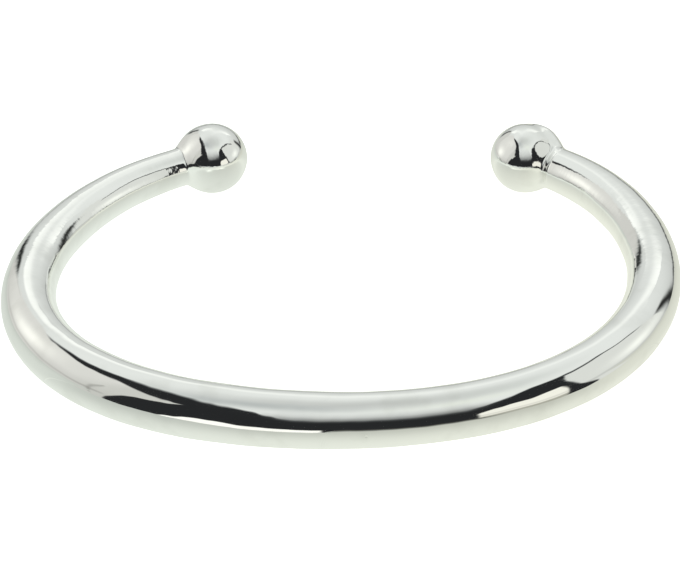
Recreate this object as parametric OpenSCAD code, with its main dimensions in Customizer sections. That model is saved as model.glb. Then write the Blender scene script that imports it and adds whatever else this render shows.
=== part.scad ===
// Open cuff bangle of polished silver: one round bar, bent to an oval and left open at the back,
// which narrows to a smooth neck and ends in a ball on each side of the gap. It is one piece of
// metal. It lies on its side, on the front of the bar and on the two balls. Sizes are in
// millimetres. Angles go round the oval from its front, where they are 0, and are positive
// towards +X, so the left end of the bar is at a negative angle.

/* [Oval] */
// Mean radius of the line along the middle of the bar
ring_r = 28.4; // [26:0.1:31]
// How far the oval's two sides stand out past that radius, and its front and back lie inside it
oval_out = 2.92; // [2:0.01:4.5]
// How far the oval's long axis is turned from straight across the bangle
oval_turn = 2.6; // [-5:0.1:5]
// Angle from the front to where the bend ends and the straight neck starts, on both sides
end_angle = 135.5; // [125:0.5:145]

/* [Hand bending] */
// Height of three slight bulges round the oval: on the left, at the right front and right back
bulge_3 = 0.22; // [0:0.01:0.6]
// Height of four slight bulges, at the corners, which make the oval a little square
bulge_4 = 0.31; // [0:0.01:0.6]
// Height of five slight bulges, one of them at the front
bulge_5 = 0.17; // [0:0.01:0.4]
// How far the two ends of the bend flare out from the oval
flare = 0.3; // [0:0.05:1]
// Angle from the front past which they flare
flare_angle = 100; // [80:5:120]

/* [Bar] */
// Mean diameter of the bar
bar_d = 4.92; // [4.5:0.01:5.5]
// How much thicker the bar is at the front than that, and thinner towards the ends
taper_d = 0.82; // [0:0.01:1]
// How much the bar swells at the left shoulder and past the right one
swell_d = 0.44; // [0:0.01:0.6]
// Angle at which the left shoulder is thickest
swell_turn = -72.5; // [-90:0.5:-60]

/* [Ends, left and right] */
// Diameters of the balls
ball_d = [7.4, 7.26]; // [6.8:0.01:8]
// Lengths from the end of the bend to the middle of the ball
neck_l = [4.28, 4.27]; // [4:0.01:6]
// How far the balls' middles lie inside the line of the neck
ball_in = [0.66, 0.54]; // [0:0.01:0.8]
// Power of the sum that joins neck and ball on top: the lower, the fuller the hollow between them
top_power = [4, 2.7]; // [2:0.1:10]
// The same power on the underside
low_power = [7, 9]; // [2:0.1:10]
// Softness of the foot of the ball, where its outline meets the neck
foot = [0.11, 0.2]; // [0.05:0.01:0.4]
// How much earlier the neck slims down inside the ball on its inner upper side
waist = [0.2, 0.8]; // [0:0.1:1]

/* [Ends, both] */
// How far the lowest points of the balls, on which they stand, lie below the middle of the bar
ball_low = 3.45; // [3.3:0.01:4]
// Angle round the end, from its outer side over its top, where the hollow is fullest
fullest = 60; // [40:5:90]
// Angle round the end where its inner upper side lies, on which ball and neck meet in a tight crease
crease_side = 145; // [120:5:160]
// The power there
crease_power = 10; // [5:1:14]

/* [Hidden] */

// Sections along the bend, along each neck and over each ball, from its foot to its tip
bend_steps = 70;
neck_steps = 2;
ball_steps = 26;
// Sides of every section
sides = 32;
// Small angle over which the bar's heading is measured
heading_step = 0.5;

// Lobes of the oval, one set a row: how many lie round a full turn, their height, and the angle
// from the front at which one of them stands
LOBE_COUNT = 0;
LOBE_HEIGHT = 1;
LOBE_ANGLE = 2;
LOBES = [
    [2, oval_out, 90 + oval_turn],
    [3, bulge_3, 31],
    [4, bulge_4, 46],
    [5, bulge_5, 0],
];

function total(list, i = 0) = i < len(list) ? list[i] + total(list, i + 1) : 0;
function unit(v) = v / norm(v);
// 0 up to 0, 1 from 1, and a smooth step between
function smooth_step(x) = let (t = min(max(x, 0), 1)) t * t * (3 - 2 * t);

// Point of the bar's middle line at an angle, the direction in which the line runs there, and
// the bar's radius there
function lobe(row, a) = row[LOBE_HEIGHT] * cos(row[LOBE_COUNT] * (a - row[LOBE_ANGLE]));
function flare_at(a) = flare * (max(abs(a) - flare_angle, 0) / (end_angle - flare_angle)) ^ 2;
function middle_r(a) = ring_r + total([for (row = LOBES) lobe(row, a)]) + flare_at(a);
function middle(a) = middle_r(a) * [sin(a), -cos(a)];
function heading(a) = unit(middle(a + heading_step) - middle(a - heading_step));
function bar_r(a) = (bar_d + taper_d * cos(a) + swell_d * cos(2 * (a - swell_turn))) / 2;

// A section is [middle point, direction of the line, list of radii round it].
MIDDLE = 0;
ALONG = 1;
RADII = 2;
function flat(point) = [point.x, point.y, 0];
function side_angle(i) = 360 * i / sides;

// Ends are LEFT and RIGHT. Outwards is the direction from the bend through the ball, and across
// is the direction from the inside of the bangle to its outside.
LEFT = 0;
RIGHT = 1;
function turn_of(end) = end == LEFT ? -1 : 1;
function bend_end(end) = turn_of(end) * end_angle;
function outwards(end) = turn_of(end) * heading(bend_end(end));
function across(end) = let (out = outwards(end)) turn_of(end) * [out.y, -out.x];
function ball_r(end) = ball_d[end] / 2;

// The line through the sections moves from the line of the neck to the ball's middle. This is the
// share of the way at a distance back from the ball's middle towards the neck.
function way(end, back) = smooth_step(1 - back / neck_l[end]);
function ball_down(end) = ball_low - ball_r(end);
function ball_shift(end) = -ball_in[end] * flat(across(end)) - [0, 0, ball_down(end)];
function end_middle(end, back) =
    flat(middle(bend_end(end)) + (neck_l[end] - back) * outwards(end)) + way(end, back) * ball_shift(end);

// Length of that move, squared, and how far it goes towards an angle round the end
function move_squared(end) = ball_in[end] ^ 2 + ball_down(end) ^ 2;
function move_towards(end, angle) = -ball_in[end] * cos(angle) - ball_down(end) * sin(angle);
// Distance from a section's middle to a circle round a point that is a share of the move away
function circle_at(end, share, radius, angle) = let (t = move_towards(end, angle))
    share * t + sqrt(max(radius ^ 2 - share ^ 2 * (move_squared(end) - t ^ 2), 0));

// How much an angle round the end belongs to the creased side: 1 in its middle, 0 opposite
function in_crease(angle) = smooth_step(cos(angle - crease_side) / 0.75);
// Radius of the ball alone. Its foot runs out softly, and is gone where the bend ends.
function foot_level(k, soft) = sqrt((k + sqrt(k * k + soft * soft)) / 2);
function ball_outline(end, back, angle) = let (
    soft = back > 0 ? foot[end] : 0,
    gone = smooth_step((neck_l[end] - back) / (neck_l[end] - ball_r(end))),
    level = foot_level(1 - (back / ball_r(end)) ^ 2, soft) / foot_level(1, soft)
) max(circle_at(end, 1 - way(end, back), ball_r(end) * gone * level, angle), 0);
// Radius of the neck alone, which fades away inside the ball
function neck_outline(end, back, angle) = let (
    fade = smooth_step((back / ball_r(end) + 1 - waist[end] * in_crease(angle)) / 1.5)
) fade * circle_at(end, -way(end, back), bar_r(bend_end(end)), angle);
// Radius of both together at an angle round the end
function end_power(end, angle) = let (
    power = low_power[end] + (top_power[end] - low_power[end]) * (1 + cos(angle - fullest)) / 2
) power + (crease_power - power) * in_crease(angle);
function end_radius(end, back, angle) = let (
    power = end_power(end, angle)
) (ball_outline(end, back, angle) ^ power + neck_outline(end, back, angle) ^ power) ^ (1 / power);

// Distances back from the ball's middle, from the neck to just short of the ball's tip
function end_backs(end) = concat(
    [for (i = [1 : neck_steps]) neck_l[end] + (ball_r(end) - neck_l[end]) * i / (neck_steps + 1)],
    [for (i = [0 : ball_steps - 1]) ball_r(end) * cos(180 * i / ball_steps)]
);
function end_sections(end) = [
    for (back = end_backs(end)) [
        end_middle(end, back),
        turn_of(end) * outwards(end),
        [for (i = [0 : sides - 1]) end_radius(end, back, side_angle(i))]
    ]
];
function tip(end) = end_middle(end, -ball_r(end));
function reversed(list) = [for (i = [len(list) - 1 : -1 : 0]) list[i]];

bend_sections = [
    for (i = [0 : bend_steps]) let (a = end_angle * (2 * i / bend_steps - 1))
        [flat(middle(a)), heading(a), [for (k = [1 : sides]) bar_r(a)]]
];
sections = concat(reversed(end_sections(LEFT)), bend_sections, end_sections(RIGHT));

// Ring of points of one section, across its direction
function ring(section) = [
    for (i = [0 : sides - 1]) let (t = side_angle(i), along = section[ALONG])
        section[MIDDLE] + section[RADII][i] * [along.y * cos(t), -along.x * cos(t), sin(t)]
];
level_points = concat([tip(LEFT)], [for (section = sections) each ring(section)], [tip(RIGHT)]);

// The balls reach lower than the bar, so at rest the back is raised, by the angle at which the
// first section of the bar's front half meets the surface that the balls stand on.
balls_y = (end_middle(LEFT, 0).y + end_middle(RIGHT, 0).y) / 2;
rest_tilt = min([
    for (section = bend_sections) if (section[MIDDLE].y < 0)
        asin((ball_low - section[RADII][0]) / (balls_y - section[MIDDLE].y))
]);
function tilted(p) = [
    p.x,
    p.y * cos(rest_tilt) - p.z * sin(rest_tilt),
    p.y * sin(rest_tilt) + p.z * cos(rest_tilt)
];
tilted_points = [for (p = level_points) tilted(p)];

// The origin is under the middle of the outer box, on the surface that the bangle lies on.
function low(points, axis) = min([for (p = points) p[axis]]);
function high(points, axis) = max([for (p = points) p[axis]]);
function mean_of_ends(points, axis) = (low(points, axis) + high(points, axis)) / 2;
box_middle = [mean_of_ends(tilted_points, 0), mean_of_ends(tilted_points, 1), low(tilted_points, 2)];
bangle_points = [for (p = tilted_points) p - box_middle];

// Faces: a fan over each tip and a strip of four-sided faces between each two rings
last_point = len(bangle_points) - 1;
last_ring = len(sections) - 1;
function ring_point(row, i) = 1 + row * sides + i % sides;
bangle_faces = concat(
    [for (i = [0 : sides - 1]) [0, ring_point(0, i + 1), ring_point(0, i)]],
    [for (row = [0 : last_ring - 1], i = [0 : sides - 1])
        [ring_point(row, i), ring_point(row, i + 1), ring_point(row + 1, i + 1), ring_point(row + 1, i)]],
    [for (i = [0 : sides - 1]) [last_point, ring_point(last_ring, i), ring_point(last_ring, i + 1)]]
);

// Bar, necks and balls, as one piece of polished silver
module cuff_bangle() {
    color([0.86, 0.87, 0.85])
        polyhedron(points = bangle_points, faces = bangle_faces);
}

cuff_bangle();
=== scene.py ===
from math import radians

import bpy
import numpy as np
from mathutils import Matrix, Vector


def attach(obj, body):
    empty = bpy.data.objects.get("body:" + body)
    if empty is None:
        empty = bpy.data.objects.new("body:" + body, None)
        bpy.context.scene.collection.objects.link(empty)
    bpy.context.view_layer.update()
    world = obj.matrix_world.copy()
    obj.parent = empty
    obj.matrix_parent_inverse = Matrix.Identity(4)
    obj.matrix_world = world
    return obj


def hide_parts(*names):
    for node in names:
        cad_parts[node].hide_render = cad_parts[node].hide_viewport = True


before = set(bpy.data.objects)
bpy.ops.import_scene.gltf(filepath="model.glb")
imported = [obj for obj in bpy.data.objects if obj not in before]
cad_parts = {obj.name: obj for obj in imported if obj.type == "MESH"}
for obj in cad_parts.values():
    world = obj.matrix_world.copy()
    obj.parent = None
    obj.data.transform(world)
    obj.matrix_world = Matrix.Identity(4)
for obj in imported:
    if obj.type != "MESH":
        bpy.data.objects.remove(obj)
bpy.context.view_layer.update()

bl_info = {
    "name": "Cuff Bangle",
    "version": (1, 0, 0),
    "blender": (4, 5, 0),
    "location": "View3D > Sidebar > Cuff Bangle",
    "description": "Builds an open silver cuff bangle with ball ends, and a light tent round it",
    "category": "Add Mesh",
}

MM = 0.001
FULL_TURN = 2 * np.pi
QUARTER_TURN = np.pi / 2

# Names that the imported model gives
NODE = "cuff_bangle"
BODY = "root"

# Rows of the grid along the bend, each neck and each ball, and columns round the bar
BEND_ROWS = 600
NECK_ROWS = 8
BALL_ROWS = 96
COLUMNS = 112
# Small angle over which the heading of the middle line is measured
HEADING_STEP = radians(0.5)
# Which way round from the front the left end and the right end lie
WAYS = (-1, 1)

# Angles from the front at which one of the three, the four and the five bulges stands
BULGE_ANGLES = (radians(31), radians(46), 0.0)
# Cosine of the angle to each side of the crease within which it is full, and how many radii of
# the ball the neck takes to fade inside it
CREASE_FULL = 0.75
NECK_FADE = 1.5
# Waves of the hand polish and the finer ripples between them: how many sine waves each is made
# of, the shortest and the longest, and the seed of their directions
WAVES = (22, 3.2 * MM, 8 * MM, 4)
RIPPLES = (30, 1.1 * MM, 2.2 * MM, 11)
# Radius of a section near a tip below which the waves die away
TIP_BLEND = 0.4 * MM

# Slight flats on the balls, where the surface leans a little, as hand filing may leave it. They are
# set so that what the balls mirror falls where the photo has it. One row each: the end it is on,
# its place right and up from the ball's middle, how far it leans right and up, and its width, all
# as shares of the ball's radius, as seen from the direction below.
BALL_FLATS = (
    (0, (-0.33, 0.47), (0.12, 0.0), 0.28),
    (0, (0.30, 0.22), (-0.1, 0.0), 0.22),
    (1, (-0.36, 0.46), (0.24, 0.02), 0.3),
    (1, (0.57, 0.20), (0.13, 0.0), 0.25),
)
FLATS_SEEN_AZIMUTH = radians(7.4)
FLATS_SEEN_HEIGHT = radians(31.6)
# How far from the ball's middle a flat is still on the ball, in the ball's radii
FLATS_REACH = 1.3

# Pits: the share of the cells of their pattern that stay whole, how deep a pit is, and how far
# its floor and its rim lie from its middle, in cells
WHOLE_CELLS = 0.88
PIT_DEPTH = 0.02 * MM
PIT_FLOOR, PIT_RIM = 0.03, 0.07
# Polishing lines: how deep they are, in depths of a pit, and how much more the softest of them
# blur the mirror than the sharpest
LINE_DEPTH = 0.012
SOFTEST_BLUR = 3
# How far from the front along the bar the arms' ripples start and are full
ARMS_START, ARMS_FULL = 34 * MM, 50 * MM

# Point attribute that holds each point's place on the bar as if it were still straight
STRAIGHT = "straight"
# Point attribute of the tent and the sheet that holds how they glow
GLOW = "glow"

# Point that the middle of the picture shows
CAMERA_TARGET = Vector((-0.046, -0.386, 1.605)) * MM


def length_prop(name, description, millimetres):
    """A length, given in millimetres."""
    return bpy.props.FloatProperty(
        name=name, description=description, default=millimetres * MM, unit="LENGTH"
    )


def angle_prop(name, description, degrees):
    """An angle, given in degrees."""
    return bpy.props.FloatProperty(
        name=name, description=description, default=radians(degrees), subtype="ANGLE"
    )


def lengths_prop(name, description, left, right):
    """A length at the left end and one at the right end, given in millimetres."""
    return bpy.props.FloatVectorProperty(
        name=name, description=description, default=(left * MM, right * MM), unit="LENGTH", size=2
    )


def numbers_prop(name, description, left, right):
    """A plain number for the left end and one for the right end."""
    return bpy.props.FloatVectorProperty(
        name=name, description=description, default=(left, right), size=2
    )


def colour_prop(name, description, colour):
    """A colour."""
    return bpy.props.FloatVectorProperty(
        name=name, description=description, default=colour, subtype="COLOR"
    )


def share_prop(name, description, share, most=1.0):
    """A number from 0 up to the most that makes sense."""
    return bpy.props.FloatProperty(
        name=name, description=description, default=share, min=0.0, max=most
    )


class BangleSizes(bpy.types.PropertyGroup):
    """Sizes of the bangle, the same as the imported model's."""

    ring_r: length_prop("Ring radius", "Mean radius of the line along the middle of the bar", 28.4)
    oval_out: length_prop("Oval", "How far the two sides stand out past that radius", 2.92)
    oval_turn: angle_prop("Oval turn", "How far the long axis is turned from straight across", 2.6)
    bulge_3: length_prop("Three bulges", "Height of three slight bulges round the oval", 0.22)
    bulge_4: length_prop("Four bulges", "Height of four slight bulges at the corners", 0.31)
    bulge_5: length_prop(
        "Five bulges", "Height of five slight bulges, one of them at the front", 0.17
    )
    flare: length_prop("Flare", "How far the two ends of the bend flare out from the oval", 0.3)
    flare_angle: angle_prop("Flare angle", "Angle from the front past which they flare", 100)
    end_angle: angle_prop(
        "End angle", "Angle from the front to where the bend ends, on both sides", 135.5
    )
    bar_d: length_prop("Bar diameter", "Mean diameter of the bar", 4.92)
    taper_d: length_prop(
        "Taper", "How much thicker the bar is at the front, and thinner towards the ends", 0.82
    )
    swell_d: length_prop("Swell", "How much the bar swells at the left shoulder", 0.44)
    swell_turn: angle_prop("Swell angle", "Angle at which the left shoulder is thickest", -72.5)
    ball_d: lengths_prop("Ball diameters", "Diameters of the balls", 7.4, 7.26)
    neck_l: lengths_prop(
        "Neck lengths", "Lengths from the end of the bend to the middle of the ball", 4.28, 4.27
    )
    ball_in: lengths_prop(
        "Ball offsets", "How far the balls' middles lie inside the line of the neck", 0.66, 0.54
    )
    ball_low: length_prop(
        "Ball depth", "How far the lowest points of the balls lie below the middle of the bar", 3.45
    )
    top_power: numbers_prop(
        "Power on top",
        "Power of the sum that joins neck and ball on top: the lower, the fuller the hollow",
        4.0,
        2.7,
    )
    low_power: numbers_prop("Power below", "The same power on the underside", 7.0, 9.0)
    foot: numbers_prop(
        "Foot", "Softness of the foot of the ball, where its outline meets the neck", 0.11, 0.2
    )
    waist: numbers_prop(
        "Waist",
        "How much earlier the neck slims down inside the ball on its inner upper side",
        0.2,
        0.8,
    )
    fullest: angle_prop(
        "Fullest side",
        "Angle round the end, from its outer side over its top, where the hollow is fullest",
        60,
    )
    crease_side: angle_prop(
        "Crease side", "Angle round the end where ball and neck meet in a tight crease", 145
    )
    crease_power: bpy.props.FloatProperty(
        name="Crease power", description="The power of the sum there", default=10.0
    )


class SilverFinish(bpy.types.PropertyGroup):
    """How the silver is finished."""

    colour: colour_prop("Silver", "Colour of the bare metal", (0.955, 0.96, 0.945))
    worn_colour: colour_prop(
        "Worn silver", "Colour where the polish is duller", (0.90, 0.905, 0.885)
    )
    wave_height: length_prop(
        "Wave height", "Height of the longest of the waves that hand polishing leaves", 0.0042
    )
    ripple_height: length_prop(
        "Ripple height", "Height of the longest of the finer ripples between the waves", 0.0005
    )
    arm_ripples: share_prop(
        "Arm ripples", "Height of the ripples across the arms, in depths of a pit", 0.8, 3.0
    )
    roughness: share_prop("Roughness", "Blur of the mirror where it is cleanest", 0.025)


class TentSizes(bpy.types.PropertyGroup):
    """The light tent, the floor and the camera."""

    tent_r: length_prop(
        "Tent radius", "Distance of the tent's cards from the middle of the bangle", 200
    )
    far_r: length_prop("Far wall radius", "Distance of what shows through the tent's windows", 2500)
    floor_size: length_prop("Floor size", "Length of the floor's sides", 6000)
    floor_glow: share_prop(
        "Floor glow", "Light that the floor adds to what falls on it, so that it looks white", 0.92
    )
    camera_distance: length_prop("Camera distance", "Distance of the camera from its target", 300)
    camera_azimuth: angle_prop(
        "Camera azimuth", "How far the camera stands to the right of the front", 7.391
    )
    camera_elevation: angle_prop(
        "Camera elevation", "Height angle of the camera over the floor", 31.630
    )
    camera_roll: angle_prop("Camera roll", "How far the camera leans to its right", 3.004)
    camera_lens: bpy.props.FloatProperty(
        name="Lens",
        description="Focal length of the camera in millimetres, on a 36 mm sensor",
        default=159.62,
    )


def smooth_step(x):
    """0 below 0, 1 above 1, and 3 x squared minus 2 x cubed between."""
    x = np.clip(x, 0, 1)
    return x * x * (3 - 2 * x)


def rise(x, edge, blur):
    """0 below the edge and 1 above it, with a smooth step as wide as twice the blur between."""
    return smooth_step((x - edge) / (2 * blur) + 0.5)


def fall(x, edge, blur):
    """1 below the edge and 0 above it."""
    return 1 - rise(x, edge, blur)


def through(x, corners):
    """Smooth curve through a few corners: a cubic between each two, level at a peak or a dip."""
    corner_x, corner_y = np.array(corners, float).T
    width = np.diff(corner_x)
    slope = np.diff(corner_y) / width
    same_way = slope[:-1] * slope[1:] > 0
    total = np.where(same_way, slope[:-1] + slope[1:], 1)
    tangent = np.concatenate(
        [slope[:1], np.where(same_way, 2 * slope[:-1] * slope[1:] / total, 0), slope[-1:]]
    )
    x = np.clip(x, corner_x[0], corner_x[-1])
    k = np.clip(np.searchsorted(corner_x, x, side="right") - 1, 0, len(width) - 1)
    t = (x - corner_x[k]) / width[k]
    return (
        (2 * t**3 - 3 * t**2 + 1) * corner_y[k]
        + (t**3 - 2 * t**2 + t) * width[k] * tangent[k]
        + (3 * t**2 - 2 * t**3) * corner_y[k + 1]
        + (t**3 - t**2) * width[k] * tangent[k + 1]
    )


def unit(vectors):
    """Vectors made one long."""
    return vectors / np.linalg.norm(vectors, axis=-1, keepdims=True)


def middle_line(sizes, angle):
    """Points of the bar's middle line at angles from the front: the distance from the centre is the
    ring radius plus, for each set of bulges, its height times a cosine that repeats round the turn,
    plus the flare, which grows with the square of the angle past the flare angle."""
    bulges = (
        (2, sizes.oval_out, QUARTER_TURN + sizes.oval_turn),
        (3, sizes.bulge_3, BULGE_ANGLES[0]),
        (4, sizes.bulge_4, BULGE_ANGLES[1]),
        (5, sizes.bulge_5, BULGE_ANGLES[2]),
    )
    past = np.clip(np.abs(angle) - sizes.flare_angle, 0, None)
    distance = sizes.ring_r + sizes.flare * (past / (sizes.end_angle - sizes.flare_angle)) ** 2
    for count, height, place in bulges:
        distance = distance + height * np.cos(count * (angle - place))
    return np.stack([distance * np.sin(angle), -distance * np.cos(angle)], -1)


def line_heading(sizes, angle):
    """Direction of the middle line, from a point a little before to a point a little after."""
    return unit(middle_line(sizes, angle + HEADING_STEP) - middle_line(sizes, angle - HEADING_STEP))


def bar_radius(sizes, angle):
    """Half of the mean diameter, plus the taper times a cosine that is highest at the front, plus
    the swell times a cosine that is highest at the left shoulder."""
    taper = sizes.taper_d * np.cos(angle)
    swell = sizes.swell_d * np.cos(2 * (angle - sizes.swell_turn))
    return (sizes.bar_d + taper + swell) / 2


def foot_level(k, soft):
    """Square root of k where k is well above 0, which runs out softly below."""
    return np.sqrt((k + np.sqrt(k * k + soft * soft)) / 2)


def move_share(sizes, end, back):
    """How far an end's sections have moved from the line of the neck to the ball's middle."""
    return smooth_step(1 - back / sizes.neck_l[end])


def end_middles(sizes, end, back):
    """Middle points of an end's sections: the line of the neck, moved by a smooth step to the
    ball's middle, which lies a little further in and at its own height."""
    way = WAYS[end]
    angle = np.array([way * sizes.end_angle])
    outwards = way * line_heading(sizes, angle)[0]
    across = way * np.array([outwards[1], -outwards[0]])
    flat = middle_line(sizes, angle)[0] + (sizes.neck_l[end] - back)[:, None] * outwards
    shift = np.array([*(-sizes.ball_in[end] * across), sizes.ball_d[end] / 2 - sizes.ball_low])
    share = move_share(sizes, end, back)[:, None]
    return np.concatenate([flat, np.zeros((len(back), 1))], 1) + share * shift, way * outwards


def end_radii(sizes, end, back, turn):
    """Radii of an end by distance back from the ball's middle and by angle round it.

    Each section joins two circles, one round the neck's line and one round the ball's middle. The
    distance to a circle from a point beside its middle is the offset's share in that direction
    plus the root of the radius squared less the rest of the offset squared. The ball's circle
    has a soft foot, and the neck's fades inside the ball. Each distance is raised to a power, and
    the root of the sum of both is the radius. On the crease side the power is high."""
    back = back[:, None]
    ball_r = sizes.ball_d[end] / 2
    inwards, upwards = -sizes.ball_in[end], ball_r - sizes.ball_low
    towards = (inwards * np.cos(turn) + upwards * np.sin(turn))[None, :]
    beside = inwards**2 + upwards**2 - towards**2
    share = move_share(sizes, end, back)
    crease = smooth_step(np.cos(turn - sizes.crease_side) / CREASE_FULL)[None, :]

    soft = np.where(back > 0, sizes.foot[end], 0)
    gone = smooth_step((sizes.neck_l[end] - back) / (sizes.neck_l[end] - ball_r))
    half = ball_r * gone * foot_level(1 - (back / ball_r) ** 2, soft) / foot_level(1, soft)
    rest = 1 - share
    ball = np.maximum(rest * towards + np.sqrt(np.maximum(half**2 - rest**2 * beside, 0)), 0)

    neck_r = bar_radius(sizes, WAYS[end] * sizes.end_angle)
    fade = smooth_step((back / ball_r + 1 - sizes.waist[end] * crease) / NECK_FADE)
    neck = fade * (-share * towards + np.sqrt(neck_r**2 - share**2 * beside))

    top = (1 + np.cos(turn - sizes.fullest)) / 2
    power = sizes.low_power[end] + (sizes.top_power[end] - sizes.low_power[end]) * top
    power = power + (sizes.crease_power - power) * crease
    return ((ball / MM) ** power + (neck / MM) ** power) ** (1 / power) * MM


def end_sections(sizes, end, turn):
    """Middle points, directions and radii along one end, from the bend to the tip, and the tip."""
    ball_r = sizes.ball_d[end] / 2
    neck = np.linspace(sizes.neck_l[end], ball_r, NECK_ROWS + 1, endpoint=False)[1:]
    back = np.concatenate([neck, ball_r * np.cos(np.pi * np.arange(BALL_ROWS) / BALL_ROWS)])
    middle, along = end_middles(sizes, end, back)
    tip = end_middles(sizes, end, np.array([-ball_r]))[0][0]
    return middle, np.tile(along, (len(back), 1)), end_radii(sizes, end, back, turn), tip


def bangle_sections(sizes, turn):
    """All sections from the left tip to the right one, with both tips."""
    angle = np.linspace(-sizes.end_angle, sizes.end_angle, BEND_ROWS)
    left = end_sections(sizes, 0, turn)
    right = end_sections(sizes, 1, turn)
    line = np.concatenate([middle_line(sizes, angle), np.zeros((BEND_ROWS, 1))], 1)
    radius = np.tile(bar_radius(sizes, angle)[:, None], (1, len(turn)))
    bend = (line, line_heading(sizes, angle), radius)
    middle, along, radius = (
        np.concatenate([a[::-1], b, c]) for a, b, c in zip(left[:3], bend, right[:3])
    )
    return middle, along, radius, np.array([left[3], right[3]])


def resting_tilt(sizes):
    """Angle by which the balls, which reach lower than the bar, raise the back: the smallest angle
    at which a section of the front half meets the surface that the balls stand on."""
    angle = np.linspace(-sizes.end_angle, sizes.end_angle, BEND_ROWS)
    line_y = middle_line(sizes, angle)[:, 1]
    in_front = line_y < 0
    balls_y = np.mean([end_middles(sizes, end, np.zeros(1))[0][0, 1] for end in (0, 1)])
    drop = sizes.ball_low - bar_radius(sizes, angle)
    return np.min(np.arcsin(drop[in_front] / (balls_y - line_y[in_front])))


def space_waves(points, height, count, shortest, longest, seed):
    """Height of slight waves at points: a sum of sine waves that cross space in seeded directions,
    each as high as its length is to the longest, so that no seam or pole shows."""
    random = np.random.default_rng(seed)
    directions = unit(random.normal(size=(count, 3)))
    lengths = random.uniform(shortest, longest, count)
    phases = random.uniform(0, FULL_TURN, count)
    total = np.zeros(points.shape[:-1])
    for way, length, phase in zip(directions, lengths, phases):
        total += length / longest * np.sin(points @ way * FULL_TURN / length + phase)
    return total * height


def direction(azimuth, height):
    """Direction at an azimuth from the front, positive to the right, and a height angle."""
    flat = np.array([np.sin(azimuth), -np.cos(azimuth), 0.0]) * np.cos(height)
    return flat + np.array([0.0, 0.0, np.sin(height)])


def ball_flats(sizes, grid):
    """Height of the slight flats on the balls: for each, the ball's radius times the point's way
    along the lean, times a bell curve round the flat's place."""
    view = direction(FLATS_SEEN_AZIMUTH, FLATS_SEEN_HEIGHT)
    right = direction(FLATS_SEEN_AZIMUTH + QUARTER_TURN, 0.0)
    up = np.cross(view, right)
    total = np.zeros(grid.shape[:-1])
    for end, place, lean, width in BALL_FLATS:
        ball_r = sizes.ball_d[end] / 2
        from_middle = grid - end_middles(sizes, end, np.zeros(1))[0][0]
        distance = np.linalg.norm(from_middle, axis=-1)
        way = from_middle / distance[..., None]
        x, y = way @ right - place[0], way @ up - place[1]
        in_view = (way @ view > 0) & (distance < FLATS_REACH * ball_r)
        bell = np.exp(-(x**2 + y**2) / width**2) * in_view
        total += ball_r * (x * lean[0] + y * lean[1]) * bell
    return total


def grid_normals(grid):
    """Outward directions of a grid whose rows close round: the cross product of the step along the
    bar and the step round it."""
    along = np.gradient(grid, axis=0)
    around = np.roll(grid, -1, axis=1) - np.roll(grid, 1, axis=1)
    return unit(np.cross(along, around))


def bangle_surface(sizes, finish):
    """Points of the bangle in its own flat plane, as a grid with rows along the bar, the two tips,
    and each point's place on the straight bar.

    A point is the section's middle plus its radius along the direction that turns round the line,
    moved along its own normal by the height of the hand-polished waves and flats there."""
    turn = FULL_TURN * np.arange(COLUMNS) / COLUMNS
    middle, along, radius, tips = bangle_sections(sizes, turn)
    level = np.stack([along[:, 1], -along[:, 0], np.zeros(len(along))], -1)
    upright = np.array([0.0, 0.0, 1.0])
    spoke = level[:, None] * np.cos(turn)[None, :, None] + upright * np.sin(turn)[None, :, None]
    grid = middle[:, None] + radius[..., None] * spoke
    wave = space_waves(grid, finish.wave_height, *WAVES)
    ripple = space_waves(grid, finish.ripple_height, *RIPPLES)
    tip_blend = np.minimum(radius / TIP_BLEND, 1)
    height = (wave + ripple) * tip_blend + ball_flats(sizes, grid)
    grid = grid + grid_normals(grid) * height[..., None]

    reach = np.concatenate([[0], np.cumsum(np.linalg.norm(np.diff(middle, axis=0), axis=1))])
    reach -= reach[len(reach) // 2]
    straight = np.stack(
        [
            np.repeat(reach[:, None], COLUMNS, axis=1),
            radius * np.cos(turn),
            radius * np.sin(turn),
        ],
        -1,
    )
    straight_tips = np.array([[reach[0], 0.0, 0.0], [reach[-1], 0.0, 0.0]])
    return grid, tips, straight, straight_tips, resting_tilt(sizes)


def tipped(points, tilt):
    """Points turned about the X axis, so that what lies at the back is raised."""
    x, y, z = np.moveaxis(points, -1, 0)
    return np.stack(
        [x, y * np.cos(tilt) - z * np.sin(tilt), y * np.sin(tilt) + z * np.cos(tilt)], -1
    )


def tube_faces(rows, columns):
    """Faces of a closed tube with a pole at each end: point 0, the grid row by row, then the last
    point."""
    row, column = np.meshgrid(np.arange(rows - 1), np.arange(columns), indexing="ij")
    after = (column + 1) % columns
    quads = np.stack(
        [
            row * columns + column,
            (row + 1) * columns + column,
            (row + 1) * columns + after,
            row * columns + after,
        ],
        -1,
    ).reshape(-1, 4)
    column = np.arange(columns)
    after = (column + 1) % columns
    first = np.stack([np.zeros(columns, int), 1 + column, 1 + after], -1)
    start = 1 + (rows - 1) * columns
    last = np.stack([np.full(columns, 1 + rows * columns), start + after, start + column], -1)
    return (quads + 1).tolist() + first.tolist() + last.tolist()


def grid_faces(rows, columns):
    """Faces of an open grid, row by row."""
    row, column = np.meshgrid(np.arange(rows - 1), np.arange(columns - 1), indexing="ij")
    corner = row * columns + column
    quads = np.stack([corner, corner + 1, corner + columns + 1, corner + columns], -1)
    return quads.reshape(-1, 4).tolist()


def new_object(name, points, faces, material):
    """A smooth mesh object at the origin with one material."""
    mesh = bpy.data.meshes.new(name)
    mesh.from_pydata(points.reshape(-1, 3).tolist(), [], faces)
    mesh.shade_smooth()
    mesh.materials.append(material)
    piece = bpy.data.objects.new(name, mesh)
    bpy.context.scene.collection.objects.link(piece)
    return piece


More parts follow.
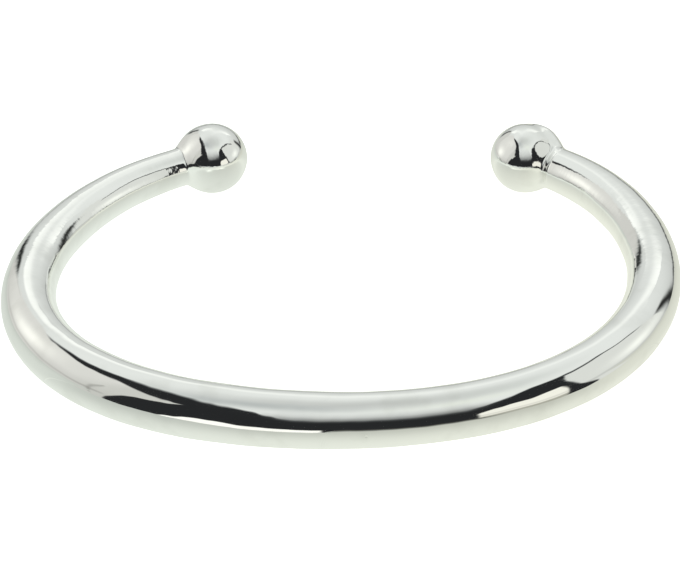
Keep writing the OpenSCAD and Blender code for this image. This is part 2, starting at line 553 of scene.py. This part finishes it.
def store_vectors(piece, name, vectors):
    """Keeps a vector for each point, for the material to read."""
    attribute = piece.data.attributes.new(name, "FLOAT_VECTOR", "POINT")
    attribute.data.foreach_set("vector", vectors.reshape(-1).astype(np.float32))


def new_material(name):
    """An empty node material and its node tree."""
    material = bpy.data.materials.new(name)
    material.use_nodes = True
    material.node_tree.nodes.clear()
    return material, material.node_tree


def add_node(tree, kind, inputs=(), **settings):
    """A node with its settings. An input is linked if it is given another node's output, and set
    if it is given a value."""
    node = tree.nodes.new(kind)
    for name, value in settings.items():
        setattr(node, name, value)
    for name, value in dict(inputs).items():
        if isinstance(value, bpy.types.NodeSocket):
            tree.links.new(value, node.inputs[name])
        else:
            node.inputs[name].default_value = value
    return node


def add_math(tree, operation, *values):
    """Result of one operation on values, outputs or both."""
    return add_node(tree, "ShaderNodeMath", enumerate(values), operation=operation).outputs["Value"]


def add_noise(tree, place, stretch, scale, detail, roughness):
    """Soft noise over a place, which is first multiplied by the stretch in each direction."""
    stretched = add_node(tree, "ShaderNodeMapping", {"Vector": place, "Scale": stretch})
    inputs = {
        "Vector": stretched.outputs["Vector"],
        "Scale": scale,
        "Detail": detail,
        "Roughness": roughness,
    }
    return add_node(tree, "ShaderNodeTexNoise", inputs).outputs["Fac"]


def add_range(tree, value, low, high, to_low, to_high, kind="SMOOTHSTEP"):
    """A value's range from low to high, carried over to another range."""
    inputs = {
        "Value": value,
        "From Min": low,
        "From Max": high,
        "To Min": to_low,
        "To Max": to_high,
    }
    return add_node(tree, "ShaderNodeMapRange", inputs, interpolation_type=kind).outputs["Result"]


def silver_material(finish):
    """Polished silver: a mirror whose blur changes over soft smudges and fine polishing lines, with
    small pits, and ripples across the arms."""
    material, tree = new_material("polished_silver")
    place = add_node(tree, "ShaderNodeAttribute", attribute_name=STRAIGHT).outputs["Vector"]

    # Soft smudges, a few millimetres across, which dull the mirror a little
    smudge = add_noise(tree, place, (1.0, 1.0, 1.0), scale=260.0, detail=3.0, roughness=0.55)
    smudge = add_range(tree, smudge, low=0.5, high=0.72, to_low=0.0, to_high=1.0)
    colours = {"Factor": smudge, "A": (*finish.colour, 1.0), "B": (*finish.worn_colour, 1.0)}
    colour = add_node(tree, "ShaderNodeMix", colours, data_type="RGBA")

    # Polishing lines run along the bar, so their noise is drawn out in that direction
    lines = add_noise(tree, place, (0.05, 1.0, 1.0), scale=5200.0, detail=4.0, roughness=0.6)
    sharpest, softest = finish.roughness, SOFTEST_BLUR * finish.roughness
    blur = add_range(tree, lines, 0.3, 0.8, sharpest, softest, kind="LINEAR")
    blur = add_math(tree, "MULTIPLY_ADD", smudge, finish.roughness, blur)

    # Pits: small round hollows, of which most are left out
    cells = add_node(tree, "ShaderNodeTexVoronoi", {"Vector": place, "Scale": 420.0})
    hollow = add_range(tree, cells.outputs["Distance"], PIT_FLOOR, PIT_RIM, -1.0, 0.0)
    split = add_node(tree, "ShaderNodeSeparateColor", {"Color": cells.outputs["Color"]})
    chosen = add_math(tree, "GREATER_THAN", split.outputs["Red"], WHOLE_CELLS)
    pits = add_math(tree, "MULTIPLY", hollow, chosen)

    # Ripples across the arms, which were bent and filed by hand, and none at the front
    apart = add_node(tree, "ShaderNodeSeparateXYZ", {"Vector": place})
    from_front = add_math(tree, "ABSOLUTE", apart.outputs["X"])
    on_arms = add_range(tree, from_front, ARMS_START, ARMS_FULL, 0.0, finish.arm_ripples)
    ripples = add_noise(tree, place, (1.0, 0.55, 0.55), scale=1400.0, detail=2.0, roughness=0.6)
    height = add_math(tree, "MULTIPLY_ADD", ripples, on_arms, pits)

    height = add_math(tree, "MULTIPLY_ADD", lines, LINE_DEPTH, height)
    bump = add_node(tree, "ShaderNodeBump", {"Height": height, "Distance": PIT_DEPTH})
    surface = {
        "Base Color": colour.outputs["Result"],
        "Metallic": 1.0,
        "Roughness": blur,
        "Normal": bump.outputs["Normal"],
    }
    shader = add_node(tree, "ShaderNodeBsdfPrincipled", surface)
    add_node(tree, "ShaderNodeOutputMaterial", {"Surface": shader.outputs["BSDF"]})
    return material


# The tent, far wall and sheet glow, so their pale and dark places are painted light and shade.
# What the tent, the far wall and the sheet look like. The corners, levels and colours were set
# from where the photo's metal mirrors its dark and pale places. Azimuths and heights are in
# degrees: azimuth 0 is in front of the bangle and 90 to its right, and heights are over the floor.
# Below 0 the tent reaches down past the floor, where the bangle mirrors it beyond the sheet's
# front edge. A colour is what it looks like on screen. An edge is one number, or a curve through
# corners of azimuth and height, or of height and azimuth if it is upright. A start or an end is a
# place and its blur.

# White cloth over and behind the bangle: how light it is by height, its tint, and soft patches of
# painted light and shade on it, each a colour, a strength, the azimuth and height of its middle,
# and its spread both ways
CLOTH = (
    (-20, 0.79), (5, 0.80), (15, 0.835), (32, 0.885), (50, 0.92), (60, 0.91), (70, 0.87),
    (80, 0.82), (90, 0.79),
)
CLOTH_TINT = (0.985, 1.0, 0.985)
CLOTH_LIGHT_AND_SHADE = (
    ((0.72, 0.74, 0.735), 0.9, (-45, 70), (45, 13)),
    ((0.92, 0.94, 0.90), 0.7, (45, 60), (28, 10)),
    ((0.79, 0.81, 0.79), 0.5, (105, 72), (60, 12)),
)

# Lamp behind the cloth: its line from azimuth 140 round the back to 208, half its width, where
# its top is and half how wide that is, and how much broader and fainter it is there
LAMP = ((140, 31), (150, 31), (160, 34), (170, 38), (180, 46), (190, 38), (197, 32), (208, 31))
LAMP_START, LAMP_END = (145, 3), (210, 3)
LAMP_COLOUR = (1.03, 1.04, 1.02)
LAMP_HALF = 5.5
LAMP_TOP, LAMP_TOP_HALF = 180, 17
LAMP_TOP_BROADER, LAMP_TOP_FAINTER = 6, 0.72

# Dark room in front: its upper edge and that edge's blur by azimuth. Right in front the edge is
# soft, and there the table gives how light it is by height over the edge.
DARK_TOP = (
    (-130, 41), (-113, 51), (-97, 59), (-75, 61.5), (-58, 61), (-45, 57.5), (-32, 51), (-23, 45),
    (-17, 38), (-12, 30), (-6, 27), (8, 27.5), (30, 28), (37, 31.5), (44, 38.5), (51, 44.5),
    (58, 48), (67, 50), (78, 49.5), (90, 50), (105, 48.5), (114, 41), (122, 30),
)
DARK_TOP_BLUR = ((-130, 3), (-50, 3), (-20, 2), (30, 2), (60, 1.5), (120, 1))
DARK_START, DARK_END = (-124, 8), (118, 4)
DARK_COLOUR = (0.155, 0.160, 0.165)
SOFT_START, SOFT_END = (-14, 6), (38, 6)
SOFT_EDGE = ((-9, 0), (-6, 0.05), (-2, 0.24), (2, 0.54), (7, 0.71), (12, 0.85), (19, 0.93), (28, 1))

# Cards: the top edge with its blur, and the left and right edges with theirs
LEFT_TOP = (
    (-140, 38), (-122, 42), (-110, 44.5), (-96, 48), (-84, 50), (-71, 48.5), (-60, 45.5),
    (-50, 41), (-44, 37),
)
LEFT_CARD_EDGE = (
    (-25, -64), (-8, -60), (0, -58.5), (10, -55), (18, -52.7), (24, -50), (28, -46.5), (33, -42),
    (38, -38), (46, -34),
)
LEFT_CARD = ((LEFT_TOP, 1.2), (-139, 3), (LEFT_CARD_EDGE, 0.8))
RIGHT_TOP = ((68, 43), (78, 46.5), (90, 47.5), (104, 46), (112, 40), (120, 28), (126, 10))
RIGHT_CARD_EDGE = (
    (-25, 78), (-8, 76), (0, 72), (9, 68), (19, 67), (29, 67.5), (38, 71), (46, 78),
)
RIGHT_CARD = ((RIGHT_TOP, 1.0), (RIGHT_CARD_EDGE, 0.8), (127, 2))
FRONT_TOP = ((33, 8), (37, 14), (42, 18.5), (50, 18.5), (57, 21), (63, 22))
FRONT_CARD = ((FRONT_TOP, 1.0), (34, 1.0), (62.5, 0.7))
LOW_TOP = ((-46, -12), (-38, -5), (-28, 3), (-20, -1.5), (-14, -4), (-4, -5))
LOW_CARD = ((LOW_TOP, 1.0), (-47, 2.0), (-3.3, 0.5))

# Left card: how light it is by height, a bright patch of painted light, and a painted shade
# towards its right edge. A dark line crosses it low down, darker towards the right, at a height
# and with half its width, and a dark upright line stands near its right edge.
LEFT_COLOUR = (0.865, 0.865, 0.845)
LEFT_LEVEL = ((-20, 0.93), (0, 0.94), (12, 0.96), (25, 1.0), (50, 1.0))
LEFT_PATCHES = (((1.03, 1.03, 1.0), 1.0, (-106, 21), (14, 14)),)
LEFT_SHADE, LEFT_SHADE_STRENGTH, LEFT_SHADE_START = (0.76, 0.765, 0.74), 0.6, (-66, 9)
LEFT_LOW_LINE_COLOUR, LEFT_LOW_LINE_STRENGTH = (0.66, 0.66, 0.64), 0.75
LEFT_LOW_LINE_HEIGHT, LEFT_LOW_LINE_HALF = 5, 2.2
LEFT_LOW_LINE_START, LEFT_LOW_LINE_END = (-128, 8), (-60, 3)
LEFT_LOW_LINE_LEVEL = ((-128, 0.4), (-90, 0.5), (-72, 0.8), (-60, 1.2))
LEFT_DARK_LINE_COLOUR, LEFT_DARK_LINE_STRENGTH = (0.55, 0.55, 0.53), 0.6

# The other cards. The right card has a bright patch of painted light, and the front card has a
# grey foot.
RIGHT_COLOUR = (0.865, 0.875, 0.855)
RIGHT_LIGHT_PATCHES = (((1.0, 1.01, 0.98), 1.0, (101, 14), (14, 9)),)
FRONT_COLOUR = (0.97, 0.965, 0.92)
FRONT_FOOT, FRONT_FOOT_STRENGTH, FRONT_FOOT_TOP = (0.55, 0.55, 0.50), 0.7, (-3, 2)
LOW_COLOUR = (1.04, 1.04, 1.01)

# A dark line of painted shade at the foot of the cloth: how strong it is by azimuth, from 0 over
# the right to the back, and its height and half its width on the tent and on the far wall
FOOT_SHADE_LEVEL = (
    (80, 0.12), (138, 0.2), (146, 0.85), (160, 0.85), (176, 0.5), (190, 0.5), (205, 0.3), (215, 0),
)
FOOT_SHADE_COLOUR = (0.20, 0.205, 0.20)
TENT_FOOT, FAR_FOOT = (1.5, 2.6), (1.0, 2.2)

# Windows at the back of the tent, through which the far wall shows: left, right, low and high
WINDOWS = ((-168, -136, -14, 28), (118, 152, -14, 38))
FAR_LEFT_COLOUR = (0.82, 0.82, 0.80)
FAR_LEFT_START, FAR_LEFT_END = (-146, 2), (0, 1)
FAR_RIGHT_START, FAR_RIGHT_END = (0, 1), (126, 2)

# Upright dark lines: where they stand, half their width, and where they start and end in height.
# The gaps are on the far wall, between its cloth and its cards.
LEFT_DARK_LINE = (-64, 0.7, (-4, 2), (27, 2))
LEFT_GAP = (-149, 2.6, (3, 3), (21, 4))
LEFT_GAP_COLOUR = (0.16, 0.17, 0.165)
RIGHT_GAP_LINE = ((-10, 137), (5, 134), (15, 131), (25, 128.5), (35, 124))
RIGHT_GAP = (RIGHT_GAP_LINE, 4.4, (-9, 2), (22, 3))
RIGHT_GAP_COLOUR = (0.17, 0.175, 0.17)

# Grid of the tent, the far wall and the sheet
GRID_STEP = 0.5
TENT_LOW = -25
SHEET_ROWS = 200

# Front edge of the sheet, as azimuth and distance from the middle in millimetres, the azimuths
# between which it is used, and how far the sheet reaches at the sides, as a share of the tent
SHEET_EDGE = (
    (-62, 52), (-50, 51), (-42, 49), (-36, 47), (-25, 43), (-9, 38), (1, 38.5), (3, 62), (29, 62),
    (36, 52), (42, 48), (48, 48), (54, 45), (66, 46), (76, 52),
)
SHEET_EDGE_LEFT, SHEET_EDGE_RIGHT = -60, 77.5
SHEET_REACH = 0.95
# How far out the bangle lies at its front, and how much further at its sides, in millimetres
BANGLE_FRONT, BANGLE_SIDE = 27.7, 5.9
# How light the sheet is, by distance in millimetres: out from the bangle at its front and at its
# sides, inside the bangle from the middle, and where it runs out into the dark in front
SHEET_FRONT = (
    (-3, 0.945), (0, 0.915), (2, 0.875), (4, 0.835), (7, 0.80), (10, 0.785), (16, 0.77),
)
SHEET_SIDE = ((-2, 0.93), (1, 0.91), (3, 0.88), (8, 0.865), (20, 0.84), (60, 0.80))
SHEET_INSIDE = ((0, 0.80), (10, 0.82), (18, 0.84), (24, 0.88), (28, 0.94))
SHEET_DARK = (
    (-5, 1), (0, 0.93), (4, 0.82), (7, 0.68), (10, 0.52), (13, 0.40), (17, 0.31), (24, 0.25),
)
# Where each of these begins to hold. The dark lies between two azimuths, starts at a distance and
# moves out with each degree to the right.
SIDE_START = (58, 12)
INSIDE_START, INSIDE_SIDE_START = (2, 2), (75, 15)
SHEET_DARK_START, SHEET_DARK_END = (0, 2), (38, 5)
SHEET_DARK_DISTANCE, SHEET_DARK_SLANT = 34, 0.12
# Where the bangle throws light back on the sheet, in millimetres from the middle, half the size of
# such a spot across and along, and how light it is
LIGHT_SPOTS = ((-17, -2), (1.5, -3))
LIGHT_SPOT_SIZE = (3.5, 6)
LIGHT_SPOT_LEVEL = 1.05
# Tint of the sheet far to the left and far to the right, and how wide the change between them is
SHEET_TINT_LEFT = np.array([0.98, 1.005, 0.97])
SHEET_TINT_RIGHT = np.array([1.0, 1.01, 0.955])
SHEET_TINT_WIDTH = 80 * MM


def painted(glow, colour, mask):
    """The glow with a colour laid over it where the mask is 1."""
    return glow + (np.asarray(colour, float) - glow) * mask[..., None]


def degrees_from(azimuth, centre):
    """Turn from a centre azimuth, between -180 and 180 degrees."""
    return (azimuth - centre + 180) % 360 - 180


def soft_line(distance, half_width):
    """1 on a line, and less by a bell curve with distance from it."""
    return np.exp(-((distance / half_width) ** 2))


def with_painted_patches(glow, azimuth, height, patches):
    """The glow with soft patches of painted light and shade laid over it, each strongest at its
    middle and weaker by a bell curve to each side."""
    for colour, strength, middle, spread in patches:
        across = degrees_from(azimuth, middle[0]) / spread[0]
        upwards = (height - middle[1]) / spread[1]
        glow = painted(glow, colour, strength * np.exp(-(across**2) - upwards**2))
    return glow


def between(x, start, end):
    """1 between a start and an end and 0 outside them, with smooth steps at both."""
    return rise(x, *start) * fall(x, *end)


def edge_at(edge, where):
    """Place of an edge: the number that it is, or what its curve gives there."""
    return through(where, edge) if isinstance(edge, tuple) else edge


def card_mask(azimuth, height, card):
    """1 on a card and 0 off it: below its top, and between its left and right edges."""
    (top, top_blur), (left, left_blur), (right, right_blur) = card
    below = fall(height, edge_at(top, azimuth), top_blur)
    start = (edge_at(left, height), left_blur)
    end = (edge_at(right, height), right_blur)
    return below * between(azimuth, start, end)


def upright_line(azimuth, height, line):
    """1 on an upright line and less by a bell curve to each side, between two heights."""
    place, half_width, low, high = line
    aside = degrees_from(azimuth, edge_at(place, height))
    return soft_line(aside, half_width) * between(height, low, high)


def foot_shade(azimuth, height, place):
    """The dark line of painted shade at the foot of the cloth, as strong as its table says at
    each azimuth.
    """
    middle, half_width = place
    return soft_line(height - middle, half_width) * through(azimuth % 360, FOOT_SHADE_LEVEL)


def cloth_glow(height):
    """Colour of the plain cloth by height."""
    return through(height, CLOTH)[..., None] * np.array(CLOTH_TINT)


def lamp_mask(azimuth, height):
    """How strongly the lamp shows: a soft line through its corners, broader and fainter at the
    top."""
    turn = azimuth % 360
    at_top = soft_line(degrees_from(azimuth, LAMP_TOP), LAMP_TOP_HALF)
    line = soft_line(height - through(turn, LAMP), LAMP_HALF + LAMP_TOP_BROADER * at_top)
    return line * between(turn, LAMP_START, LAMP_END) * (1 - LAMP_TOP_FAINTER * at_top)


def dark_mask(azimuth, height):
    """How dark the room is: 1 below its upper edge, and above it 0, with a step as soft as its
    table says right in front."""
    top = through(azimuth, DARK_TOP)
    sharp = rise(height, top, through(azimuth, DARK_TOP_BLUR))
    soft = through(height - top, SOFT_EDGE)
    lit = sharp + (soft - sharp) * between(azimuth, SOFT_START, SOFT_END)
    return (1 - lit) * between(azimuth, DARK_START, DARK_END)


def left_card(azimuth, height):
    """Colour of the left card: its level by height, the bright patch, and the shade."""
    colour = through(height, LEFT_LEVEL)[..., None] * np.array(LEFT_COLOUR)
    colour = with_painted_patches(colour, azimuth, height, LEFT_PATCHES)
    return painted(colour, LEFT_SHADE, LEFT_SHADE_STRENGTH * rise(azimuth, *LEFT_SHADE_START))


def tent_glow(azimuth, height):
    """Colour of the tent by azimuth and height: the cloth with its lamp, the dark room over it,
    then the cards, each laid over what is behind it, and the painted shade along the foot."""
    # The cloth, with its soft patches of painted light and shade
    glow = with_painted_patches(cloth_glow(height), azimuth, height, CLOTH_LIGHT_AND_SHADE)
    glow = painted(glow, LAMP_COLOUR, lamp_mask(azimuth, height))
    glow = painted(glow, DARK_COLOUR, dark_mask(azimuth, height))

    glow = painted(glow, left_card(azimuth, height), card_mask(azimuth, height, LEFT_CARD))
    # Darker lines on the left card: one low across it, and one upright near its right edge
    low_line = soft_line(height - LEFT_LOW_LINE_HEIGHT, LEFT_LOW_LINE_HALF) * between(azimuth, LEFT_LOW_LINE_START, LEFT_LOW_LINE_END)
    low_line *= through(azimuth, LEFT_LOW_LINE_LEVEL)
    glow = painted(glow, LEFT_LOW_LINE_COLOUR, LEFT_LOW_LINE_STRENGTH * low_line)
    glow = painted(glow, LEFT_DARK_LINE_COLOUR, LEFT_DARK_LINE_STRENGTH * upright_line(azimuth, height, LEFT_DARK_LINE))

    # Right card, with a bright patch of painted light
    plain = np.ones(azimuth.shape)[..., None] * np.array(RIGHT_COLOUR)
    right = with_painted_patches(plain, azimuth, height, RIGHT_LIGHT_PATCHES)
    glow = painted(glow, right, card_mask(azimuth, height, RIGHT_CARD))

    front = card_mask(azimuth, height, FRONT_CARD)
    glow = painted(glow, FRONT_COLOUR, front)
    front_foot = front * fall(height, *FRONT_FOOT_TOP)
    glow = painted(glow, FRONT_FOOT, FRONT_FOOT_STRENGTH * front_foot)
    glow = painted(glow, LOW_COLOUR, card_mask(azimuth, height, LOW_CARD))
    # Painted shade along the foot of the cloth
    return painted(glow, FOOT_SHADE_COLOUR, foot_shade(azimuth, height, TENT_FOOT))


def far_glow(azimuth, height):
    """Colour of the far wall by azimuth and height: cloth, a card to each side of it, and a dark
    gap between cloth and card on both sides."""
    left = between(azimuth, FAR_LEFT_START, FAR_LEFT_END)
    glow = painted(cloth_glow(height), FAR_LEFT_COLOUR, left)
    right = between(azimuth, FAR_RIGHT_START, FAR_RIGHT_END)
    glow = painted(glow, RIGHT_COLOUR, right)
    # Painted shade along the foot of the cloth
    glow = painted(glow, FOOT_SHADE_COLOUR, foot_shade(azimuth, height, FAR_FOOT))
    glow = painted(glow, RIGHT_GAP_COLOUR, upright_line(azimuth, height, RIGHT_GAP))
    return painted(glow, LEFT_GAP_COLOUR, upright_line(azimuth, height, LEFT_GAP))


def sheet_colour(x, y):
    """Colour of the sheet: palest close to the bangle, a little greyer further out, warmer to the
    right, running out into the dark right in front, with spots of light inside the bangle."""
    azimuth = np.degrees(np.arctan2(x, -y))
    aside = np.abs(azimuth)
    distance = np.hypot(x, y) / MM
    out = distance - BANGLE_FRONT - BANGLE_SIDE * np.sin(np.radians(azimuth)) ** 2
    side = rise(aside, *SIDE_START)
    level = through(out, SHEET_FRONT) * (1 - side) + through(out, SHEET_SIDE) * side
    inside = rise(-out, *INSIDE_START) * rise(aside, *INSIDE_SIDE_START)
    level = level + (through(distance, SHEET_INSIDE) - level) * inside

    past_start = distance - SHEET_DARK_DISTANCE - SHEET_DARK_SLANT * azimuth
    in_front = between(azimuth, SHEET_DARK_START, SHEET_DARK_END)
    dark = np.minimum(level, through(past_start, SHEET_DARK))
    level = level * (1 - in_front) + dark * in_front
    for spot_x, spot_y in LIGHT_SPOTS:
        across = (x / MM - spot_x) / LIGHT_SPOT_SIZE[0]
        along = (y / MM - spot_y) / LIGHT_SPOT_SIZE[1]
        level = level + (LIGHT_SPOT_LEVEL - level) * soft_line(np.hypot(across, along), 1)

    right = smooth_step(x / SHEET_TINT_WIDTH + 0.5)[..., None]
    return level[..., None] * (SHEET_TINT_LEFT * (1 - right) + SHEET_TINT_RIGHT * right)


def light_of(colour):
    """Amount of light that a colour on screen stands for, by the usual display curve."""
    colour = np.clip(colour, 0, None)
    return np.where(colour <= 0.04045, colour / 12.92, ((colour + 0.055) / 1.055) ** 2.4)


def glow_material():
    """Light of the colour that each point of the tent or sheet keeps."""
    material, tree = new_material("tent_glow")
    colour = add_node(tree, "ShaderNodeAttribute", attribute_name=GLOW)
    light = add_node(tree, "ShaderNodeEmission", {"Color": colour.outputs["Vector"]})
    add_node(tree, "ShaderNodeOutputMaterial", {"Surface": light.outputs["Emission"]})
    material.cycles.emission_sampling = "NONE"
    return material


def floor_material(tent):
    """White floor that takes a faint shadow."""
    material, tree = new_material("white_floor")
    matt = add_node(tree, "ShaderNodeBsdfDiffuse", {"Color": (0.8, 0.8, 0.8, 1.0)})
    light = add_node(tree, "ShaderNodeEmission", {"Strength": tent.floor_glow})
    shaders = {0: matt.outputs["BSDF"], 1: light.outputs["Emission"]}
    both = add_node(tree, "ShaderNodeAddShader", shaders)
    add_node(tree, "ShaderNodeOutputMaterial", {"Surface": both.outputs["Shader"]})
    material.cycles.emission_sampling = "NONE"
    return material


def seen_only_by(piece, *rays):
    """Lets only these kinds of rays see a piece of the stage."""
    for kind in ("camera", "diffuse", "glossy", "transmission", "volume_scatter", "shadow"):
        setattr(piece, "visible_" + kind, kind in rays)


def in_windows(azimuth, height):
    """Whether directions lie in one of the windows."""
    inside = np.zeros(azimuth.shape, bool)
    for left, right, low, high in WINDOWS:
        inside |= (azimuth >= left) & (azimuth < right) & (height >= low) & (height < high)
    return inside


def all_round():
    """Azimuths of the columns of the tent and the sheet, from the back round to the back."""
    return np.arange(-180, 180 + GRID_STEP / 2, GRID_STEP)


def build_tent(tent, material):
    """Part of a ball round the bangle, with windows at the back, and a much larger one behind it:
    azimuth by height, each at one radius. The camera looks through both."""
    heights = np.arange(TENT_LOW, 90 + GRID_STEP / 2, GRID_STEP)
    azimuth, height = np.meshgrid(all_round(), heights)
    a, h = np.radians(azimuth), np.radians(height)
    ball = np.stack([np.sin(a) * np.cos(h), -np.cos(a) * np.cos(h), np.sin(h)], -1)
    faces = grid_faces(*azimuth.shape)
    window = in_windows(azimuth, height)[:-1, :-1].reshape(-1)
    closed = [face for face, is_open in zip(faces, window) if not is_open]
    near = new_object("light_tent", tent.tent_r * ball, closed, material)
    store_vectors(near, GLOW, light_of(tent_glow(azimuth, height)))
    far = new_object("far_wall", tent.far_r * ball, faces, material)
    store_vectors(far, GLOW, light_of(far_glow(azimuth, height)))
    for piece in (near, far):
        seen_only_by(piece, "diffuse", "glossy")


def build_sheet(tent, material):
    """Flat sheet round the bangle, by azimuth and share of the way to its edge. It is what the
    bangle mirrors of the floor, and ends a little way in front, where the dark room begins."""
    azimuth, share = np.meshgrid(all_round(), np.linspace(0, 1, SHEET_ROWS))
    in_front = (azimuth > SHEET_EDGE_LEFT) & (azimuth < SHEET_EDGE_RIGHT)
    edge = np.where(in_front, through(azimuth, SHEET_EDGE) * MM, SHEET_REACH * tent.tent_r)
    x = share * edge * np.sin(np.radians(azimuth))
    y = -share * edge * np.cos(np.radians(azimuth))
    points = np.stack([x, y, np.zeros(x.shape)], -1)
    piece = new_object("floor_sheet", points, grid_faces(*azimuth.shape), material)
    store_vectors(piece, GLOW, light_of(sheet_colour(x, y)))
    seen_only_by(piece, "glossy")


def build_floor(tent):
    """Flat white square under everything, which only the camera and soft light see."""
    side = np.array([-0.5, 0.5]) * tent.floor_size
    x, y = np.meshgrid(side, side)
    points = np.stack([x, y, np.zeros(x.shape)], -1)
    piece = new_object("floor", points, grid_faces(2, 2), floor_material(tent))
    seen_only_by(piece, "camera", "diffuse", "shadow")


def build_camera(tent):
    """Camera on a ball round its target, leaning to its right by the roll."""
    back = Vector(direction(tent.camera_azimuth, tent.camera_elevation))
    camera = bpy.data.cameras.new("camera")
    camera.sensor_fit = "HORIZONTAL"
    camera.sensor_width = 36.0
    camera.lens = tent.camera_lens
    camera.clip_start = 0.01
    camera.clip_end = 20.0
    piece = bpy.data.objects.new("camera", camera)
    bpy.context.scene.collection.objects.link(piece)
    lean = Matrix.Rotation(-tent.camera_roll, 3, "Z")
    turn = (-back).to_track_quat("-Z", "Y").to_matrix() @ lean
    place = Matrix.Translation(CAMERA_TARGET + back * tent.camera_distance)
    piece.matrix_world = place @ turn.to_4x4()
    bpy.context.scene.camera = piece


def build_world():
    """White all round, which lights the floor and is what the camera sees past it."""
    world = bpy.data.worlds.new("white_room")
    world.use_nodes = True
    world.node_tree.nodes["Background"].inputs["Color"].default_value = (1.0, 1.0, 1.0, 1.0)
    world.node_tree.nodes["Background"].inputs["Strength"].default_value = 1.0
    bpy.context.scene.world = world


class CUFFBANGLE_OT_bangle(bpy.types.Operator):
    """Build the bangle with its silver finish"""

    bl_idname = "cuff_bangle.bangle"
    bl_label = "Build Bangle"

    def execute(self, context):
        sizes = context.scene.bangle_sizes
        finish = context.scene.silver_finish
        grid, tips, straight, straight_tips, tilt = bangle_surface(sizes, finish)
        points = np.concatenate([tips[:1], grid.reshape(-1, 3), tips[1:]])
        points = tipped(points, tilt)
        low, high = points.min(0), points.max(0)
        points -= np.array([(low[0] + high[0]) / 2, (low[1] + high[1]) / 2, low[2]])
        faces = tube_faces(*grid.shape[:2])
        piece = new_object("bangle", points, faces, silver_material(finish))
        places = np.concatenate([straight_tips[:1], straight.reshape(-1, 3), straight_tips[1:]])
        store_vectors(piece, STRAIGHT, places)
        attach(piece, BODY)
        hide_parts(NODE)
        return {"FINISHED"}


class CUFFBANGLE_OT_stage(bpy.types.Operator):
    """Set up the floor, the light tent and the camera"""

    bl_idname = "cuff_bangle.stage"
    bl_label = "Set Up Stage"

    def execute(self, context):
        tent = context.scene.tent_sizes
        glow = glow_material()
        build_world()
        build_floor(tent)
        build_sheet(tent, glow)
        build_tent(tent, glow)
        build_camera(tent)
        context.scene.view_settings.view_transform = "Standard"
        return {"FINISHED"}


class CUFFBANGLE_PT_tools(bpy.types.Panel):
    """Tools that build the bangle and its stage"""

    bl_label = "Cuff Bangle"
    bl_idname = "CUFFBANGLE_PT_tools"
    bl_space_type = "VIEW_3D"
    bl_region_type = "UI"
    bl_category = "Cuff Bangle"

    def draw(self, context):
        for step in STEPS:
            self.layout.operator(step.bl_idname)
        scene = context.scene
        for group in (scene.bangle_sizes, scene.silver_finish, scene.tent_sizes):
            box = self.layout.box()
            for name in group.__annotations__:
                box.prop(group, name)


STEPS = (CUFFBANGLE_OT_bangle, CUFFBANGLE_OT_stage)
CLASSES = (BangleSizes, SilverFinish, TentSizes, *STEPS, CUFFBANGLE_PT_tools)


def register():
    for kind in CLASSES:
        bpy.utils.register_class(kind)
    bpy.types.Scene.bangle_sizes = bpy.props.PointerProperty(type=BangleSizes)
    bpy.types.Scene.silver_finish = bpy.props.PointerProperty(type=SilverFinish)
    bpy.types.Scene.tent_sizes = bpy.props.PointerProperty(type=TentSizes)


def unregister():
    del bpy.types.Scene.tent_sizes
    del bpy.types.Scene.silver_finish
    del bpy.types.Scene.bangle_sizes
    for kind in reversed(CLASSES):
        bpy.utils.unregister_class(kind)


def main():
    """Builds the bangle and its stage."""
    register()
    bpy.ops.cuff_bangle.bangle()
    bpy.ops.cuff_bangle.stage()


if __name__ == "__main__":
    main()
